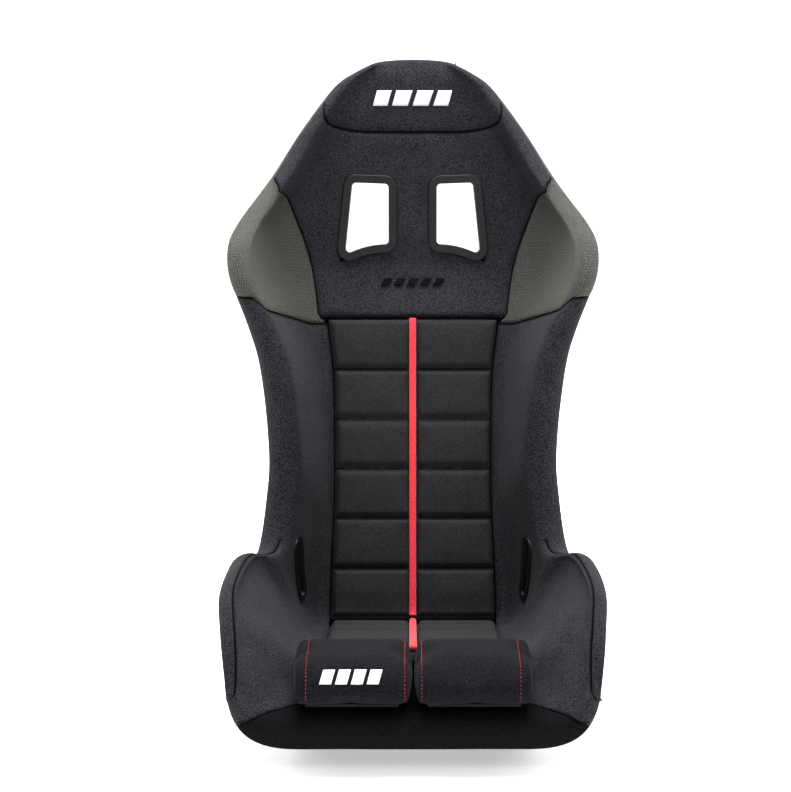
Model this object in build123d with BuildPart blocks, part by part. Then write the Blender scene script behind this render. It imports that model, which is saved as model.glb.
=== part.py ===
"""Fixed-back racing seat: a one-piece laminate shell, foam and fabric upholstery, quilted cushions
on hook-and-loop tape, strap slots with moulded bezels, and threaded bosses for side mounting.

Millimetres. +Z is up and the seat faces -Y. The origin is on the floor, under the middle of the
seat's bounding box. Left and right are the driver's, so left is +X.
"""

import os
from math import hypot

from build123d import *

os.makedirs("parts", exist_ok=True)

# ---------------------------------------------------------------- driving dimensions
SHELL_T = 4.0  # laminate
SKIN_T = 3.0  # fabric on its scrim foam
GAP = 0.6  # between layers
SEAM = 0.8  # half the gap between neighbouring panels
CORNER_SHARE = 0.8  # how far out the corner of a section lies, from the flat floor to the wall
WALL_SHARE = 0.45  # height of the wall pole of a section
RECESS = 16.0  # the cushions lie this deep in the upholstery
CORE_T = 15.0  # cushion foam
QUILT_T = 10.0  # quilted cushion cover
PIPING_HALF = 5.0  # the coloured strip down the middle of the cushions
PIPING_T = 4.0
PIPING_PROUD = 1.5
NOSE_T = 8.0  # padded panel over the front edge
TAPE_T = 1.6  # hook-and-loop tape
TAPE_GAP = 0.2
TAPE_X = 95.0
ROLL_BULGE = 0.32  # rise of the rolled edge, as a share of its width

# The form of the shell, one row per station, from the front edge along the floor and up the back:
# floor y, floor z, rim y, rim z, floor half width, wall x, rim x,
# and of the upholstery: half width between the sides, height above the shell floor, rim thickness
STATIONS = [
    (-287, 34, -291, 100, 150, 230, 236, 150, 40, 16),
    (-235, 22, -278, 146, 140, 228, 241, 140, 60, 24),
    (-165, 8, -250, 184, 130, 216, 246, 128, 86, 27),
    (-90, -1, -196, 214, 125, 210, 250, 124, 130, 29),
    (70, -1, -62, 220, 115, 206, 243, 124, 116, 33),
    (128, 3, -8, 209, 110, 204, 229, 124, 108, 37),
    (168, 28, 32, 207, 105, 200, 218, 124, 76, 40),
    (189, 80, 54, 230, 100, 194, 211, 124, 77, 42),
    (203, 150, 65, 283, 95, 186, 204, 122, 71, 44),
    (222, 240, 70, 345, 92, 179, 200, 119, 63, 45),
    (262, 420, 67, 465, 95, 187, 210, 120, 57, 42),
    (275, 500, 65, 527, 101, 203, 227, 128, 54, 38),
    (285, 570, 66, 590, 108, 226, 251, 124, 34, 33),
    (290, 625, 84, 634, 112, 233, 254, 118, 32, 30),
    (294, 670, 120, 662, 115, 224, 242, 112, 32, 28),
    (296, 710, 165, 700, 112, 200, 214, 105, 32, 26),
    (298, 750, 207, 742, 105, 176, 186, 98, 32, 25),
    (299, 790, 233, 788, 92, 149, 157, 86, 33, 24),
    (297, 850, 257, 845, 66, 107, 113, 60, 31, 18),
    (293, 868, 264, 864, 52, 82, 87, 46, 24, 14),
    (288, 878, 269, 876, 36, 58, 62, 30, 14, 10),
]
FRONT, TOP = 0.0, len(STATIONS) - 1.0
STEPS = 2  # sections of a loft for each station
SEAT_START, SEAT_END = 3.1, 5.9  # station numbers where the cushions and panels start and end
BACK_START, BACK_END = 6.1, 11.08
HIP_END = 6.2
FRONT_END = 3.0
SEAT_BACK_Y = 108.0  # the seat cushion ends here, so that it lifts out in front of the back cushion
PATCH_START, PATCH_END = 11.2, 15.5
HEAD_START = 17.4
SPLIT = 0.02  # gap between panels along the seat, in station numbers
PATCH_INNER_X = 140.0  # where the shoulder patch starts, beside the back cushion
PATCH_TIP = 0.94  # share of the section where the patch's edge ends at the top


# ---------------------------------------------------------------- the form of the seat
def row_at(u):
    """The table's row at station number u, by cubic interpolation between the rows."""
    i = min(int(u), len(STATIONS) - 2)
    rows = [STATIONS[min(max(k, 0), len(STATIONS) - 1)] for k in (i - 1, i, i + 1, i + 2)]
    s = u - i
    return [
        b + 0.5 * s * (c - a + s * (2 * a - 5 * b + 4 * c - d + s * (3 * (b - c) + d - a)))
        for a, b, c, d in zip(*rows)
    ]


def unit(a, b):
    size = hypot(b[0] - a[0], b[1] - a[1])
    return ((b[0] - a[0]) / size, (b[1] - a[1]) / size)


def inset(poles, depth):
    """Poles of the parallel curve, depth to the left of the curve's direction."""
    legs = [unit(a, b) for a, b in zip(poles, poles[1:])]
    sides = [(-dy, dx) for dx, dy in legs]
    first = (poles[0][0] + depth * sides[0][0], poles[0][1] + depth * sides[0][1])
    last = (poles[3][0] + depth * sides[2][0], poles[3][1] + depth * sides[2][1])
    inner = []
    for k in (0, 1):
        (ax, ay), (bx, by) = sides[k], sides[k + 1]
        reach = depth / (1 + ax * bx + ay * by)
        inner.append((poles[k + 1][0] + reach * (ax + bx), poles[k + 1][1] + reach * (ay + by)))
    return [first, *inner, last]


def part_of(poles, start, end):
    """Poles of the stretch of a cubic curve between two shares of it."""

    def blossom(*shares):
        points = list(poles)
        for s in shares:
            pairs = list(zip(points, points[1:]))
            points = [(a[0] + s * (b[0] - a[0]), a[1] + s * (b[1] - a[1])) for a, b in pairs]
        return points[0]

    return [blossom(*[end] * k, *[start] * (3 - k)) for k in range(4)]


class Station:
    """One section of the seat, in the plane through its floor line and its two rim points.
    A section's points are (x, height above the floor line)."""

    def __init__(self, u):
        self.u = u
        fy, fz, ry, rz, self.flat, wall, rim, self.inner, self.level, self.pad = row_at(u)
        self.height = hypot(ry - fy, rz - fz)
        self.up = ((ry - fy) / self.height, (rz - fz) / self.height)
        self.plane = Plane(origin=(0, fy, fz), x_dir=(1, 0, 0), z_dir=(0, -self.up[1], self.up[0]))
        wall_h = WALL_SHARE * self.height
        corner = self.flat + CORNER_SHARE * (wall - self.flat)
        self.outside = [(self.flat, 0.0), (corner, 0.0), (wall, wall_h), (rim, self.height)]
        end = inset(self.outside, self.pad)[3]
        step_h = max(wall_h + 0.25 * self.pad, self.level + 0.3 * (self.height - self.level))
        step = (wall - self.pad, step_h)
        self.finish = [(self.inner, self.level), (wall - 1.25 * self.pad, self.level), step, end]

    def shell(self, depth=0.0):
        """Poles of the shell's outside, left half, moved inwards by depth."""
        return inset(self.outside, depth)

    def wall_x(self, height):
        """Where the foam of the left side starts, at a height above the shell floor."""
        low, high = SHELL_T + GAP, self.level - SKIN_T - GAP
        return self.flat + (self.inner - self.flat) * (height - low) / (high - low)

    def face(self, depth=0.0):
        """Poles of the finished upholstery, left half, moved towards the shell by depth."""
        return inset(self.finish, -depth)


def side_outline(under, over):
    """Closed outline between two curves on the left half."""
    with BuildSketch(mode=Mode.PRIVATE) as outline:
        with BuildLine():
            Bezier(*under)
            Line(under[-1], over[-1])
            Bezier(*reversed(over))
            Line(over[0], under[0])
        make_face()
    return outline.sketch


def wide_outline(under, over):
    """Closed outline between two curves and their mirror images, straight across the middle."""
    under_right = [(-x, h) for x, h in under]
    over_right = [(-x, h) for x, h in over]
    with BuildSketch(mode=Mode.PRIVATE) as outline:
        with BuildLine():
            Line(under_right[0], under[0])
            Bezier(*under)
            Line(under[-1], over[-1])
            Bezier(*reversed(over))
            Line(over[0], over_right[0])
            Bezier(*over_right)
            Line(over_right[-1], under_right[-1])
            Bezier(*reversed(under_right))
        make_face()
    return outline.sketch


def straight(half_width, height, start=0.6):
    """Poles of a straight stretch at one height, which ends at half_width."""
    return [(half_width * (start + (1 - start) * k / 3), height) for k in range(4)]


def block_outline(half_width, low, high):
    return wide_outline(straight(half_width, low), straight(half_width, high))


def run(outline):
    """Loft of the outlines that outline(station) gives, along the whole seat."""
    with BuildPart(mode=Mode.PRIVATE) as piece:
        for k in range(STEPS * (len(STATIONS) - 1) + 1):
            station = Station(k / STEPS)
            with BuildSketch(station.plane):
                add(outline(station))
        loft()
    return piece.part


def side_run(under, over, low=lambda station: 0.0, high=1.0):
    """Loft on the left half between two surfaces, from share low of each curve to share high."""

    def outline(station):
        share = low(station)
        return side_outline(part_of(under(station), share, high), part_of(over(station), share, high))

    return run(outline)


def wide_run(under, over, high=lambda station: 1.0):
    """Loft across the seat between two surfaces, out to share high of each curve."""

    def outline(station):
        share = high(station)
        return wide_outline(part_of(under(station), 0.0, share), part_of(over(station), 0.0, share))

    return run(outline)


def stretch(layer, start, end):
    """The stretch of a layer between two station numbers."""
    with BuildPart(mode=Mode.PRIVATE) as piece:
        add(layer)
        if start > FRONT:
            split(bisect_by=Station(start).plane, keep=Keep.BOTTOM)
        if end < TOP:
            split(bisect_by=Station(end).plane, keep=Keep.TOP)
    return piece.part


def share_at(poles, x):
    """Share of a curve where it reaches x."""
    low, high = 0.0, 1.0
    for _ in range(30):
        middle = (low + high) / 2
        low, high = (middle, high) if part_of(poles, 0.0, middle)[3][0] < x else (low, middle)
    return low


def patch_edge(station):
    """Share where the shoulder patch meets the upper back panel: it runs out to the rim at the top."""
    rise = min(1.0, max(0.0, (station.u - PATCH_START) / (PATCH_END - PATCH_START)))
    start = max(0.1, share_at(station.face(), PATCH_INNER_X))
    return start + (PATCH_TIP - start) * rise**2.2


def middle_edge(station):
    """Share where the upper back panel ends: beside the shoulder patch, and above it at the rim."""
    return patch_edge(station) - 0.01 if station.u <= PATCH_END else 0.99


def save(part, name):
    part.label = name
    export_step(part, f"parts/{name}.step")


def save_pair(left, name):
    """Writes the left part and its mirror image as NAME_left and NAME_right."""
    save(left, f"{name}_left")
    with BuildPart() as right:
        mirror(left, about=Plane.YZ)
    save(right.part, f"{name}_right")


# ---------------------------------------------------------------- openings through the seat
STRAP_PLANE = Plane(origin=(0, 258, 652), x_dir=(1, 0, 0), z_dir=(0, -0.996, 0.09))
STRAP_CORNERS = [(35.0, -34.0), (35.0, 54.0), (88.0, 56.0), (99.0, -50.0)]
STRAP_SILL = (67.0, -37.5)  # the lower edge is curved, through here
STRAP_ROUND = 6.0
SLEEVE_T = 2.0
FLANGE_W = 12.0
FLANGE_T = 4.0
SHELL_BACK = 35.4  # from the strap plane to just behind the shell
RING_T = 3.0
LAP_PLANE = Plane(origin=(140, 80, 176), x_dir=(0, -0.25, 0.97), z_dir=(1, 0, 0))
LAP_SIZE = (84.0, 12.0)
CROTCH_Y = -176.0
CROTCH_SIZE = (64.0, 24.0)
BOSS_YZ = [(-190.0, 92.0), (100.0, 92.0)]
BOSS_R = 20.0
BOSS_FACE_X = 216.0
BOSS_ROOT_X = 184.0
THREAD_R = 4.0


def strap_bar(grow, low, high):
    """A bar with the outline of the left shoulder strap slot, grown by a margin. The slot is lower on
    its outer side."""
    with BuildPart(mode=Mode.PRIVATE) as bar:
        with BuildSketch(STRAP_PLANE.offset(low)) as outline:
            with BuildLine():
                Polyline(*STRAP_CORNERS)
                ThreePointArc(STRAP_CORNERS[-1], STRAP_SILL, STRAP_CORNERS[0])
            make_face()
            fillet(outline.vertices(), STRAP_ROUND)
            offset(amount=grow)
        extrude(amount=high - low)
    return bar.part


def lap_bar(grow):
    """A bar through the left side with the outline of the lap belt slot, grown by a margin."""
    with BuildPart(mode=Mode.PRIVATE) as bar:
        with BuildSketch(LAP_PLANE.offset(-60)):
            SlotOverall(LAP_SIZE[0] + 2 * grow, LAP_SIZE[1] + 2 * grow)
        extrude(amount=200)
    return bar.part


def crotch_bar(grow, low, high):
    """An upright bar through the floor with the outline of the crotch strap slot."""
    with BuildPart(mode=Mode.PRIVATE) as bar:
        with BuildSketch(Plane.XY.offset(low)):
            with Locations((0, CROTCH_Y)):
                SlotOverall(CROTCH_SIZE[0] + 2 * grow, CROTCH_SIZE[1] + 2 * grow)
        extrude(amount=high - low)
    return bar.part


def boss_bars(radius, low, high):
    """Round bars through the left wall where the seat is mounted."""
    with BuildPart(mode=Mode.PRIVATE) as bars:
        with BuildSketch(Plane.YZ.offset(low)):
            with Locations(*BOSS_YZ):
                Circle(radius)
        extrude(amount=high - low)
    return bars.part


def both(left):
    """A left-hand piece together with its mirror image."""
    with BuildPart(mode=Mode.PRIVATE) as pair:
        add(left)
        mirror(about=Plane.YZ)
    return pair.part


strap_holes = both(strap_bar(SLEEVE_T + GAP, -80, 40))
lap_hole = lap_bar(SLEEVE_T + GAP)
crotch_hole = crotch_bar(SLEEVE_T + GAP, -20, 160)
boss_holes = boss_bars(BOSS_R + GAP, 150, 260)

# ---------------------------------------------------------------- shell and its fittings
with BuildPart() as shell:
    add(wide_run(lambda s: s.shell(), lambda s: s.shell(SHELL_T)))
    add(strap_holes, mode=Mode.SUBTRACT)
    add(both(lap_hole), mode=Mode.SUBTRACT)
    add(crotch_hole, mode=Mode.SUBTRACT)
    add(both(boss_bars(BOSS_R, 150, 260)), mode=Mode.SUBTRACT)
    split(bisect_by=Plane.XY, keep=Keep.TOP)
save(shell.part, "shell")

with BuildPart() as side_bosses:
    add(boss_bars(BOSS_R, BOSS_ROOT_X, BOSS_FACE_X))
    add(boss_bars(THREAD_R, BOSS_ROOT_X - 1, BOSS_FACE_X + 1), mode=Mode.SUBTRACT)
save_pair(side_bosses.part, "side_bosses")

with BuildPart() as strap_bezel:
    add(strap_bar(FLANGE_W, 0, FLANGE_T))
    fillet(strap_bezel.faces().sort_by(Axis.Y)[0].edges(), 1.5)
    add(strap_bar(SLEEVE_T, -SHELL_BACK - RING_T, 0))
    add(strap_bar(0, -80, 40), mode=Mode.SUBTRACT)
save_pair(strap_bezel.part, "strap_bezel")

with BuildPart() as strap_ring:
    add(strap_bar(FLANGE_W, -SHELL_BACK - RING_T, -SHELL_BACK))
    add(strap_bar(SLEEVE_T, -80, 40), mode=Mode.SUBTRACT)
save_pair(strap_ring.part, "strap_ring")

with BuildPart() as lap_bezel:
    add(side_run(lambda s: s.shell(-1.5), lambda s: s.face(-2.0)))
    add(lap_bar(SLEEVE_T), mode=Mode.INTERSECT)
    add(side_run(lambda s: s.face(-GAP), lambda s: s.face(-3.5)) & lap_bar(7))
    add(lap_bar(0), mode=Mode.SUBTRACT)
save_pair(lap_bezel.part, "lap_bezel")

with BuildPart() as crotch_bezel:
    add(run(lambda s: block_outline(80, -1.8, -GAP / 2)))
    add(crotch_bar(8, -20, 160), mode=Mode.INTERSECT)
    add(run(lambda s: block_outline(80, -1.0, 30)) & crotch_bar(SLEEVE_T, -20, 160))
    add(crotch_bar(0, -20, 160), mode=Mode.SUBTRACT)
save(crotch_bezel.part, "crotch_bezel")


# ---------------------------------------------------------------- upholstery foam
def middle_outline(station, low, high, margin=SEAM):
    """A layer between the two sides, from one height to another."""
    low_half, high_half = station.wall_x(low) - margin, station.wall_x(high) - margin
    return wide_outline(straight(low_half, low), straight(high_half, high))


def pocket(station):
    """Height of the underside of the cushions' foam."""
    return station.level - RECESS


LOWEST = SHELL_T + GAP
front_base = run(lambda s: middle_outline(s, LOWEST, s.level - SKIN_T - GAP))
pocket_base = run(lambda s: middle_outline(s, LOWEST, pocket(s) - TAPE_T - 2 * TAPE_GAP))
side_layer = side_run(lambda s: s.shell(SHELL_T + GAP), lambda s: s.face(SKIN_T + GAP))

with BuildPart() as seat_front_foam:
    add(stretch(front_base, FRONT, FRONT_END))
    add(crotch_hole, mode=Mode.SUBTRACT)
save(seat_front_foam.part, "seat_front_foam")

save(stretch(pocket_base, FRONT_END + SPLIT, SEAT_END), "seat_base_foam")
save(stretch(pocket_base, BACK_START, BACK_END), "back_base_foam")

with BuildPart() as upper_back_foam:
    add(stretch(wide_run(lambda s: s.shell(SHELL_T + GAP), lambda s: s.face(SKIN_T + GAP)), PATCH_START, TOP))
    add(strap_holes, mode=Mode.SUBTRACT)
save(upper_back_foam.part, "upper_back_foam")

with BuildPart() as hip_foam:
    add(stretch(side_layer, FRONT, HIP_END))
    add(lap_hole, mode=Mode.SUBTRACT)
    add(boss_holes, mode=Mode.SUBTRACT)
save_pair(hip_foam.part, "hip_foam")

with BuildPart() as side_foam:
    add(stretch(side_layer, HIP_END + SPLIT, PATCH_START - SPLIT))
    add(lap_hole, mode=Mode.SUBTRACT)
save_pair(side_foam.part, "side_foam")


# ---------------------------------------------------------------- upholstery covers
def roll_outline(station):
    """Half-round foam roll around the edge of the shell and the upholstery."""
    a, b = station.outside[3], station.finish[3]
    along = unit(station.outside[2], a)
    width = hypot(b[0] - a[0], b[1] - a[1])
    a, b = ((p[0] + GAP * along[0], p[1] + GAP * along[1]) for p in (a, b))
    rise = ROLL_BULGE * width
    crown = ((a[0] + b[0]) / 2 + rise * along[0], (a[1] + b[1]) / 2 + rise * along[1])
    with BuildSketch(mode=Mode.PRIVATE) as outline:
        with BuildLine():
            Line(b, a)
            ThreePointArc(a, crown, b)
        make_face()
    return outline.sketch


def front_cover_outline(station):
    return block_outline(station.inner - SEAM, station.level - SKIN_T, station.level)


side_skin = side_run(lambda s: s.face(SKIN_T), lambda s: s.face())
middle_skin = wide_run(lambda s: s.face(SKIN_T), lambda s: s.face(), high=middle_edge)
patch_skin = side_run(lambda s: s.face(SKIN_T), lambda s: s.face(), low=patch_edge, high=0.99)
edge_roll = run(roll_outline)

with BuildPart() as seat_front_cover:
    add(stretch(run(front_cover_outline), FRONT, FRONT_END))
    add(crotch_hole, mode=Mode.SUBTRACT)
save(seat_front_cover.part, "seat_front_cover")

with BuildPart() as hip_cover:
    add(stretch(side_skin, FRONT, HIP_END))
    add(lap_hole, mode=Mode.SUBTRACT)
save_pair(hip_cover.part, "hip_cover")

with BuildPart() as side_cover:
    add(stretch(side_skin, HIP_END + SPLIT, PATCH_START - SPLIT))
    add(lap_hole, mode=Mode.SUBTRACT)
save_pair(side_cover.part, "side_cover")

save_pair(stretch(patch_skin, PATCH_START, PATCH_END), "shoulder_patch")

with BuildPart() as upper_back_cover:
    add(stretch(middle_skin, PATCH_START, HEAD_START - SPLIT))
    add(strap_holes, mode=Mode.SUBTRACT)
save(upper_back_cover.part, "upper_back_cover")

head_skin = wide_run(lambda s: s.face(SKIN_T), lambda s: s.face())
save(stretch(head_skin, HEAD_START, TOP), "head_cover")

save_pair(stretch(edge_roll, FRONT, HIP_END), "hip_roll")
save_pair(stretch(edge_roll, HIP_END + SPLIT, PATCH_START - SPLIT), "side_roll")
save_pair(stretch(edge_roll, PATCH_START, PATCH_END), "shoulder_roll")
save_pair(stretch(edge_roll, PATCH_END + SPLIT, TOP), "head_roll")

with BuildPart() as head_cap:
    crown = Station(TOP)
    crown_outline = wide_outline(crown.shell(), crown.face())
    for rise, size in [(GAP, 1.0), (6.0, 0.88), (10.0, 0.55)]:
        with BuildSketch(crown.plane.offset(-rise)):
            add(scale(crown_outline, by=size))
    loft()
save(head_cap.part, "head_cap")

with BuildPart() as front_panel:
    nose = Station(FRONT)
    with BuildSketch(nose.plane.offset(GAP)):
        add(wide_outline(nose.shell(), nose.face()))
    extrude(amount=NOSE_T)
save(front_panel.part, "front_panel")


# ---------------------------------------------------------------- quilted cushions
def tape_outline(station):
    """The left strip of hook-and-loop tape between the foam and the cushion."""
    high = pocket(station) - TAPE_GAP
    return side_outline(straight(TAPE_X, high - TAPE_T, 0.5), straight(TAPE_X, high, 0.5))


def core_outline(station):
    low = pocket(station)
    return middle_outline(station, low, low + CORE_T, 3 * SEAM)


def quilt_top(station):
    return pocket(station) + CORE_T + GAP + QUILT_T


def quilt_outline(station):
    high = quilt_top(station)
    return block_outline(station.inner - 2 * SEAM, high - QUILT_T, high)


def groove_outline(station):
    """The groove in the quilted cover that the piping lies in."""
    high = quilt_top(station)
    return block_outline(PIPING_HALF + TAPE_GAP, high - PIPING_T, high + QUILT_T)


def piping_outline(station):
    high = quilt_top(station)
    return block_outline(PIPING_HALF, high - PIPING_T + TAPE_GAP, high + PIPING_PROUD)


CUSHION_LAYERS = {
    "tape": both(run(tape_outline)),
    "core": run(core_outline),
    "quilt": run(quilt_outline) - run(groove_outline),
    "piping": run(piping_outline),
}
for name, layer in CUSHION_LAYERS.items():
    save(stretch(layer, BACK_START, BACK_END), f"back_cushion_{name}")
    with BuildPart() as seat_layer:
        add(stretch(layer, SEAT_START, SEAT_END))
        split(bisect_by=Plane.XZ.offset(-SEAT_BACK_Y), keep=Keep.TOP)
    save(seat_layer.part, f"seat_cushion_{name}")

# ---------------------------------------------------------------- thigh pads
PAD_INNER_X, PAD_OUTER_X = 2.5, 154.0
PAD_CORNERS = [(-158, 124), (-158, 149), (-301, 150), (-303, 89), (-232, 89)]  # side view, from the back
PAD_ROUND = [6, 18, 36, 20, 60]
PAD_SKIN_T = 3.0
PAD_WINDOW = (120.0, 64.0)  # opening in the underside of the cover
PAD_WINDOW_Y = -252.0


def pad_block(inset_by):
    """The left thigh pad, drawn in by a margin all round."""
    with BuildPart(mode=Mode.PRIVATE) as block:
        with BuildSketch(Plane.YZ.offset(PAD_INNER_X + inset_by)):
            with BuildLine():
                FilletPolyline(*PAD_CORNERS, radius=PAD_ROUND, close=True)
            make_face()
            offset(amount=-inset_by)
        extrude(amount=PAD_OUTER_X - PAD_INNER_X - 2 * inset_by)
    return block.part


def pad_window(margin, low, high):
    """A block in the window in the underside of the left pad's cover, smaller by a margin."""
    with BuildPart(mode=Mode.PRIVATE) as block:
        with BuildSketch(Plane.XY.offset(low)):
            with Locations(((PAD_INNER_X + PAD_OUTER_X) / 2, PAD_WINDOW_Y)):
                Rectangle(PAD_WINDOW[0] - 2 * margin, PAD_WINDOW[1] - 2 * margin)
        extrude(amount=high - low)
    return block.part


PAD_BASE_Z = PAD_CORNERS[-1][1]
with BuildPart() as pad_cover:
    add(pad_block(0))
    add(pad_block(PAD_SKIN_T), mode=Mode.SUBTRACT)
    add(pad_window(0, PAD_BASE_Z - 1, PAD_BASE_Z + 8), mode=Mode.SUBTRACT)
save_pair(pad_cover.part, "thigh_pad_cover")

save_pair(pad_block(PAD_SKIN_T + GAP), "thigh_pad_core")
save_pair(pad_window(GAP, PAD_BASE_Z, PAD_BASE_Z + PAD_SKIN_T), "thigh_pad_tape")

# ---------------------------------------------------------------- badge
BADGE_BARS = [-36.0, -12.0, 12.0, 36.0]
with BuildPart() as head_badge:
    with BuildSketch(Plane.XZ.offset(-262)):
        for x in BADGE_BARS:
            with BuildLine():
                Polyline((x - 12, 824), (x + 6, 824), (x + 12, 846), (x - 6, 846), close=True)
            make_face()
    extrude(amount=1.2)
save(head_badge.part, "head_badge")
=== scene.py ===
"""The looks of the racing seat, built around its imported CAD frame.

Sizes are in millimetres while a shape is worked out, and become metres when its mesh is made. The
seat's form is a surface P(u, w): u is the station number, from the front edge along the floor and up
the back, and w runs across, from 0 at the middle over the face (1) and the rolled edge (2).
"""

import math

import bpy
import numpy as np
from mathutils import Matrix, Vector


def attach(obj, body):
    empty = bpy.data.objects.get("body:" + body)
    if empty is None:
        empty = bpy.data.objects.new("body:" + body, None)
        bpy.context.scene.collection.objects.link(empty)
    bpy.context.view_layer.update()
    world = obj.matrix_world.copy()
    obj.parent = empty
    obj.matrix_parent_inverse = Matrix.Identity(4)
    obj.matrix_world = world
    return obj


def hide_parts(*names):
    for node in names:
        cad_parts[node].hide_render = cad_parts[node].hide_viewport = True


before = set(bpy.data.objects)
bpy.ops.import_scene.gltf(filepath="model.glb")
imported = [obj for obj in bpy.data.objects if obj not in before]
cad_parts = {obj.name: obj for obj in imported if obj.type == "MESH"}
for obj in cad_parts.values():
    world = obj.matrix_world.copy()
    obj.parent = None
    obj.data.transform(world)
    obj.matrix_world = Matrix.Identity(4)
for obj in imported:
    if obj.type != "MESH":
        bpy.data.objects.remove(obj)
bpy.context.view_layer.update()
MM = 0.001

# ------------------------------------------------ driving dimensions, as in the CAD but for CAP_T
GAP = 0.6
CORNER_SHARE = 0.8
WALL_SHARE = 0.45
ROLL_BULGE = 0.32
NOSE_T = 9.0
CAP_T = 13.5  # a little more than the CAD's, because smoothing lowers the top
STATIONS = np.array([
    # floor y, floor z, rim y, rim z, floor half width, wall x, rim x, between sides, level, rim width
    (-287, 34, -291, 100, 150, 230, 236, 150, 40, 16),
    (-235, 22, -278, 146, 140, 228, 241, 140, 60, 24),
    (-165, 8, -250, 184, 130, 216, 246, 128, 86, 27),
    (-90, -1, -196, 214, 125, 210, 250, 124, 130, 29),
    (70, -1, -62, 220, 115, 206, 243, 124, 116, 33),
    (128, 3, -8, 209, 110, 204, 229, 124, 108, 37),
    (168, 28, 32, 207, 105, 200, 218, 124, 76, 40),
    (189, 80, 54, 230, 100, 194, 211, 124, 77, 42),
    (203, 150, 65, 283, 95, 186, 204, 122, 71, 44),
    (222, 240, 70, 345, 92, 179, 200, 119, 63, 45),
    (262, 420, 67, 465, 95, 187, 210, 120, 57, 42),
    (275, 500, 65, 527, 101, 203, 227, 128, 54, 38),
    (285, 570, 66, 590, 108, 226, 251, 124, 34, 33),
    (290, 625, 84, 634, 112, 233, 254, 118, 32, 30),
    (294, 670, 120, 662, 115, 224, 242, 112, 32, 28),
    (296, 710, 165, 700, 112, 200, 214, 105, 32, 26),
    (298, 750, 207, 742, 105, 176, 186, 98, 32, 25),
    (299, 790, 233, 788, 92, 149, 157, 86, 33, 24),
    (297, 850, 257, 845, 66, 107, 113, 60, 31, 18),
    (293, 868, 264, 864, 52, 82, 87, 46, 24, 14),
    (288, 878, 269, 876, 36, 58, 62, 30, 14, 10),
], dtype=float)
TOP = len(STATIONS) - 1.0
FLOOR_W = 0.35  # w where the floor of the face ends and its side begins


# ------------------------------------------------ the seat's form
def row_at(u):
    """The table's row at station number u, by cubic interpolation between the rows."""
    i = min(int(u), len(STATIONS) - 2)
    a, b, c, d = (STATIONS[min(max(k, 0), len(STATIONS) - 1)] for k in (i - 1, i, i + 1, i + 2))
    s = u - i
    return b + 0.5 * s * (c - a + s * (2 * a - 5 * b + 4 * c - d + s * (3 * (b - c) + d - a)))


def unit(v):
    return v / np.linalg.norm(v)


def bezier(poles, s):
    s = np.asarray(s)[..., None]
    a, b, c, d = poles
    return (1 - s) ** 3 * a + 3 * s * (1 - s) ** 2 * b + 3 * s**2 * (1 - s) * c + s**3 * d


class Station:
    """One section of the seat, in the plane through its floor line and its two rim points."""

    def __init__(self, u):
        fy, fz, ry, rz, self.flat, wall, rim, self.inner, self.level, self.pad = row_at(u)
        self.floor = np.array((fy, fz))
        self.height = math.hypot(ry - fy, rz - fz)
        self.up = (np.array((ry, rz)) - self.floor) / self.height
        wall_h = WALL_SHARE * self.height
        corner = self.flat + CORNER_SHARE * (wall - self.flat)
        self.outside = np.array([(self.flat, 0.0), (corner, 0.0), (wall, wall_h), (rim, self.height)])
        along = unit(self.outside[3] - self.outside[2])
        self.along = along
        end = self.outside[3] + self.pad * np.array((-along[1], along[0]))
        step_h = max(wall_h + 0.25 * self.pad, self.level + 0.3 * (self.height - self.level))
        self.finish = np.array([
            (self.inner, self.level), (wall - 1.25 * self.pad, self.level),
            (wall - self.pad, step_h), end,
        ])

    def place(self, section):
        """Section points (x, height) in the seat's frame."""
        section = np.asarray(section)
        yz = self.floor + section[..., 1:] * self.up
        return np.concatenate([section[..., :1], yz], axis=-1)

    def roll(self, turn):
        """The rolled edge, from the face (turn 0) round to the shell's outside (turn 1)."""
        a, b = self.finish[3] + GAP * self.along, self.outside[3] + GAP * self.along
        width = np.linalg.norm(b - a)
        half = 2 * math.atan(2 * ROLL_BULGE)
        radius = width / (2 * math.sin(half))
        centre = (a + b) / 2 - self.along * radius * math.cos(half)
        angle = (2 * np.asarray(turn)[..., None] - 1) * half
        return centre + radius * (np.cos(angle) * self.along + np.sin(angle) * unit(b - a))

    def face(self, w):
        """The finished surface across the left half, at w from 0 to 2."""
        w = np.asarray(w, dtype=float)
        floor = np.stack([self.inner * w / FLOOR_W, np.full_like(w, self.level)], axis=-1)
        side = bezier(self.finish, np.clip((w - FLOOR_W) / (1 - FLOOR_W), 0, 1))
        edge = self.roll(np.clip(w - 1, 0, 1))
        section = np.where((w <= FLOOR_W)[..., None], floor, np.where((w <= 1)[..., None], side, edge))
        return self.place(section)

    def back(self, w):
        """The shell's outside across the left half. The whole rolled edge ends on its rim."""
        w = np.asarray(w, dtype=float)
        floor = np.stack([self.flat * w / FLOOR_W, np.zeros_like(w)], axis=-1)
        side = bezier(self.outside, np.clip((w - FLOOR_W) / (1 - FLOOR_W), 0, 1))
        return self.place(np.where((w <= FLOOR_W)[..., None], floor, side))


U_STEPS, W_STEPS = 14, 80  # samples for each station, and from w = 0 to w = 2
END_STEPS = 14  # samples of the rolls at both ends, which take one more station each
SMOOTHING, END_SMOOTHING = 12, 130  # passes everywhere, and over both ends


def end_roll(station, w, rise, turn):
    """The face carried round the front edge or over the top, down to the shell's outside."""
    face, back = station.face(w), station.back(w)
    out = np.array((0.0, -station.up[1], station.up[0])) * rise
    share = np.linalg.norm(face - back, axis=-1, keepdims=True)
    share = np.minimum(share / share[len(w) // 2], 1.0)
    if rise < 0:
        share = (1 - (face[:, :1] / face[-1, 0]) ** 2).clip(0, 1)
    angle = turn * math.pi
    return face + (back - face) * (1 - math.cos(angle)) / 2 + out * share * math.sin(angle)


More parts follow.
